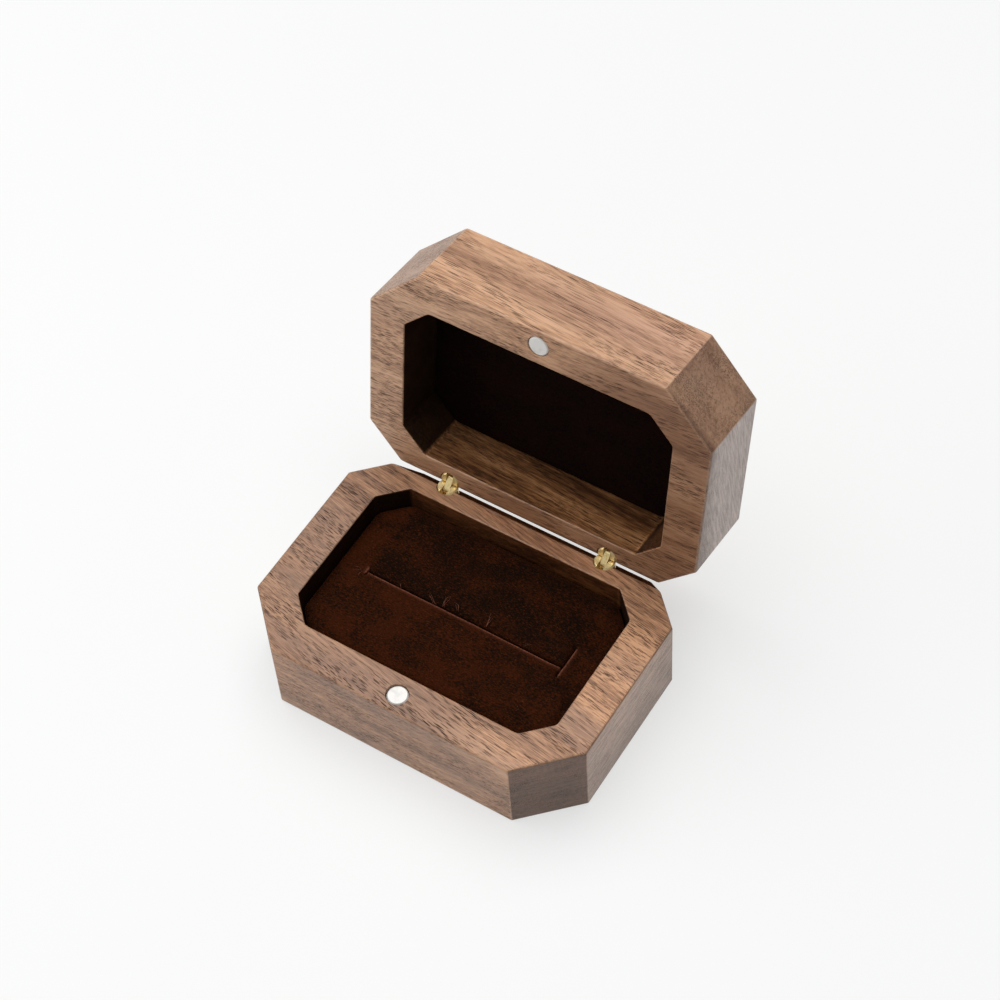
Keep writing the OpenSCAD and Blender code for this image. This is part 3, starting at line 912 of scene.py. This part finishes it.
def markNap(shape, look):
    # painted light where the nap lies towards the light, and pale slit lips, partly worn pile
    # and partly a painted highlight where they catch the light
    top = look["crest"] - look["swell"]
    zone = shape.verts.layers.float.new("napLitZone")
    lipWornAndLitLayer = shape.verts.layers.float.new("slitLipWornAndLit")
    width = slit["lipWidth"]
    for dot in shape.verts:
        x, y, z = dot.co
        inRun = inSlitRun(x)
        inFront = below(y, *zones["front"])
        atRight = 1 - below(x, *zones["right"])
        dot[zone] = max(inFront, 1 - inRun) * (1 - zones["rightLoss"] * atRight)
        front, back = slit["ends"][1 if x > 0 else -1]
        lipWornAndLitShare = max(0.0, 1 - abs(y + width) / width) * inRun
        pastEnd = abs(abs(x) - slit["halfLength"] - width)
        if front < y < back:
            lipWornAndLitShare = max(lipWornAndLitShare, zones["cutLipWornAndLit"] * max(0.0, 1 - pastEnd / width))
        dot[lipWornAndLitLayer] = lipWornAndLitShare * float(z > top - zones["lipDepth"])


def dressPad(shape, look, withSlit):
    # crown, unevenness and, on the cushion, lips that stand at different heights
    top = look["crest"] - look["swell"]
    halfX = case["length"] / 2 - case["wall"]
    halfY = case["depth"] / 2 - case["wall"]
    sink, sinkWidth = slit["rearSink"]
    lift, liftWidth = slit["frontRise"]
    for dot in shape.verts:
        x, y, z = dot.co
        loose = (z - top + dressing["looseDepth"]) / dressing["looseHeight"]
        drop = look["crown"] * ((x / halfX) ** 2 + (y / halfY) ** 2) / 2
        rise = -drop
        for (length, depth), seed, share in dressing["spots"]:
            spot = noise.noise(Vector((x / length, y / depth, seed)))
            rise += share * look["unevenness"] * spot
        if withSlit:
            away = max(abs(y) - slit["lipWidth"], 0)
            if y > 0:
                rise -= sink * inSlitRun(x) * math.exp(-away / sinkWidth)
            else:
                rise += lift * inSlitRun(x) * math.exp(-away / liftWidth)
        dot.co.z += max(0.0, min(1.0, loose)) * rise


def smoothShade(shape):
    for face in shape.faces:
        face.smooth = True


lint = {
    # root and tip, seen from above, with how many hairs
    "tufts": [((-4.6, 0.1), (-4.9, 2.7), 4), ((-1.8, 0.6), (-2.9, 1.9), 3),
              ((4.4, 0.4), (4.1, 2.7), 4), ((-6.2, -0.3), (-8.3, 0.8), 3),
              ((18.2, -12.1), (18.5, -12.0), 2), ((12.6, 0.2), (13.4, 1.1), 2),
              ((-21.8, -0.7), (-22.7, -1.9), 3), ((-13.4, -0.2), (-14.2, 0.7), 2)],
    "radius": 0.03, "taper": 0.75, "steps": 6, "sides": 5, "rootDepth": 0.55,
    "rootSpread": 0.12, "tipSpread": (0.55, 0.33), "sway": 0.25, "lift": 0.35,
    "liftShares": (0.6, 1.4), "radiusShares": (0.7, 1.2),
    "dark": paint(84, 40, 28), "pale": paint(150, 92, 72), "roughness": 0.85,
}


def addHair(shape, dots, radius):
    # a thin tapered tube along a few dots
    rings = []
    for index, dot in enumerate(dots):
        ahead = dots[min(index + 1, len(dots) - 1)] - dots[max(index - 1, 0)]
        turn = ahead.to_track_quat("Z", "Y")
        size = radius * (1 - lint["taper"] * index / (len(dots) - 1))
        angles = [2 * math.pi * side / lint["sides"] for side in range(lint["sides"])]
        rings.append([
            shape.verts.new(dot + turn @ Vector((math.cos(a), math.sin(a), 0)) * size)
            for a in angles
        ])
    for lower, upper in zip(rings, rings[1:]):
        for side in range(lint["sides"]):
            after = (side + 1) % lint["sides"]
            shape.faces.new((lower[side], lower[after], upper[after], upper[side]))
    shape.faces.new(rings[0][::-1])
    shape.faces.new(rings[-1])


def buildLint():
    # stray fibres pulled up along the slit
    chance = random.Random(11)
    shape = bmesh.new()
    ground = cushion["crest"] - lint["rootDepth"]
    spreadX, spreadY = lint["tipSpread"]
    for root, tip, count in lint["tufts"]:
        for _ in range(count):
            start = Vector((root[0] + chance.gauss(0, lint["rootSpread"]),
                            root[1] + chance.gauss(0, lint["rootSpread"]), 0))
            end = Vector((tip[0] + chance.gauss(0, spreadX),
                          tip[1] + chance.gauss(0, spreadY), 0))
            sway = Vector((chance.gauss(0, lint["sway"]), chance.gauss(0, lint["sway"]), 0))
            rise = lint["lift"] * chance.uniform(*lint["liftShares"])
            dots = []
            for step in range(lint["steps"] + 1):
                share = step / lint["steps"]
                bow = math.sin(math.pi * share)
                dot = start.lerp(end, share) + sway * bow
                dot.z = ground + (share / 2 + bow) * rise
                dots.append(dot)
            addHair(shape, dots, lint["radius"] * chance.uniform(*lint["radiusShares"]))
    smoothShade(shape)
    material = newMaterial("lintFibre")
    tree = material.node_tree
    shader = tree.nodes["Principled BSDF"]
    where = put(tree, "ShaderNodeTexCoord").outputs["Object"]
    uneven = clouds(tree, where, (0.8, 0.8, 0.8), 2)
    colour = mixColours(tree, uneven, lint["dark"], lint["pale"])
    tree.links.new(colour, shader.inputs["Base Color"])
    shader.inputs["Roughness"].default_value = lint["roughness"]
    addPiece("velvetLint", shape, baseRim, "base", "velvet", material)


def buildPad(name, look, place, body, material, withSlit, nodes):
    shape = padShape(look, withSlit)
    if withSlit:
        markNap(shape, look)
    swellPad(shape, look)
    dressPad(shape, look, withSlit)
    smoothShade(shape)
    piece = addPiece(name, shape, place, body, "velvet", material)
    rounder = piece.modifiers.new("softer", "SUBSURF")
    rounder.levels = rounder.render_levels = 1
    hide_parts(*nodes)


brassLook = {
    "colour": paint(252, 228, 166), "worn": paint(255, 247, 218),
    "tarnish": paint(226, 192, 122), "roughness": 0.26, "bump": 0.3, "metal": 0.62,
}
magnetLook = {
    "colour": paint(235, 233, 229), "worn": paint(242, 240, 237),
    "tarnish": paint(224, 221, 216), "roughness": 0.52, "bump": 0.08, "metal": 0.5,
}
metalWear = {
    # sizes in millimetres, and from none to all of the tarnish and the scratches
    "tarnish": (1.2, 1.2, 1.2), "scratches": (1.5, 0.05, 0.05),
    "tarnishRange": (0.5, 0.75), "scratchRange": (0.6, 0.8), "bumpDepth": 0.01,
}
cardLook = {
    "dark": paint(150, 122, 88), "pale": paint(182, 154, 118), "pulp": (0.8, 0.5, 0.5),
    "roughness": 0.85,
}


def metalMaterial(name, look):
    material = newMaterial(name)
    tree = material.node_tree
    shader = tree.nodes["Principled BSDF"]
    where = put(tree, "ShaderNodeTexCoord").outputs["Object"]
    tarnish = clouds(tree, where, metalWear["tarnish"], 4)
    scratches = clouds(tree, where, metalWear["scratches"], 2)
    colour = mixColours(tree, fade(tree, tarnish, *metalWear["tarnishRange"]),
                        look["colour"], look["tarnish"])
    colour = mixColours(tree, fade(tree, scratches, *metalWear["scratchRange"]),
                        colour, look["worn"])
    rough = weighed(tree, [(tarnish, 0.2)], look["roughness"])
    bump = put(tree, "ShaderNodeBump", {
        "Height": scratches, "Strength": look["bump"],
        "Distance": metalWear["bumpDepth"] * millimetre})
    tree.links.new(colour, shader.inputs["Base Color"])
    tree.links.new(rough, shader.inputs["Roughness"])
    tree.links.new(bump.outputs["Normal"], shader.inputs["Normal"])
    shader.inputs["Metallic"].default_value = look["metal"]
    return material


def cardMaterial(name):
    material = newMaterial(name)
    tree = material.node_tree
    shader = tree.nodes["Principled BSDF"]
    where = put(tree, "ShaderNodeTexCoord").outputs["Object"]
    pulp = clouds(tree, where, cardLook["pulp"], 4)
    colour = mixColours(tree, pulp, cardLook["dark"], cardLook["pale"])
    tree.links.new(colour, shader.inputs["Base Color"])
    shader.inputs["Roughness"].default_value = cardLook["roughness"]
    return material


def finishNodes():
    brass = metalMaterial("brass", brassLook)
    magnet = metalMaterial("magnetPlating", magnetLook)
    card = cardMaterial("brownCard")
    for name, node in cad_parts.items():
        if "barrel" in name or "pin" in name or "link" in name:
            finish = brass
        elif "magnet" in name:
            finish = magnet
        else:
            finish = card
        node.data.materials.clear()
        node.data.materials.append(finish)


groups = {}
aimCamera()
lightStudio()
layFloor()
print("camera, light and floor are set")
groups["grain"] = buildGrain()
groups["edgeWear"] = buildEdgeWear()
groups["velvetNap"] = buildVelvetNap()
finishNodes()
buildHalves()
buildPad("velvetCushion", cushion, baseRim, "base",
         velvetMaterial("velvetOfCushion", cushionVelvet), True,
         ["cushion_cover", "cushion_foam_front", "cushion_foam_rear"])
buildPad("velvetLining", lining, lidRim, "lid",
         velvetMaterial("shadedVelvetOfLining", shadedLiningVelvet), False,
         ["lining_cover", "lining_foam"])
buildLint()
print("velvet is laid in")

scene.view_settings.view_transform = "Standard"
bpy.context.view_layer.update()
